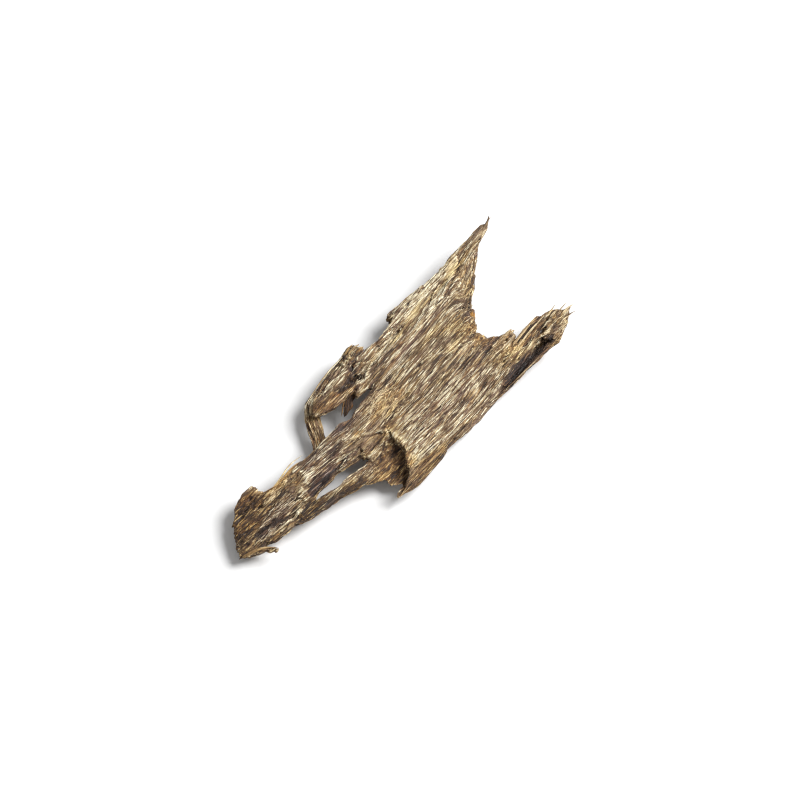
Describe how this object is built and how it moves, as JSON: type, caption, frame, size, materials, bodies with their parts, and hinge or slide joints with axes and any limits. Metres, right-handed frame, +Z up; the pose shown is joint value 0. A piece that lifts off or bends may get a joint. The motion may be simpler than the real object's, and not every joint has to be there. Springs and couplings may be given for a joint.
{
  "type": "agarwood piece",
  "caption": "Weathered piece of agarwood lying flat: a broad body, a pointed spike, a broken tail, side splinters and a hollow underside.",
  "frame": {"origin": "middle of the bounding box at floor level; the piece stands on the floor on the lips of its hollow underside", "axes": "+X along the grain towards the tip of the spike, +Y across the grain towards the edge that the spike continues, +Z up"},
  "size_m": [0.1164, 0.0412, 0.0114],
  "materials": {
    "agarwood": "bare weathered wood, dark resin streaks and pale fibres along the grain, matte"
  },
  "bodies": {
    "root": {"agarwood_piece": "agarwood"}
  },
  "joints": []
}
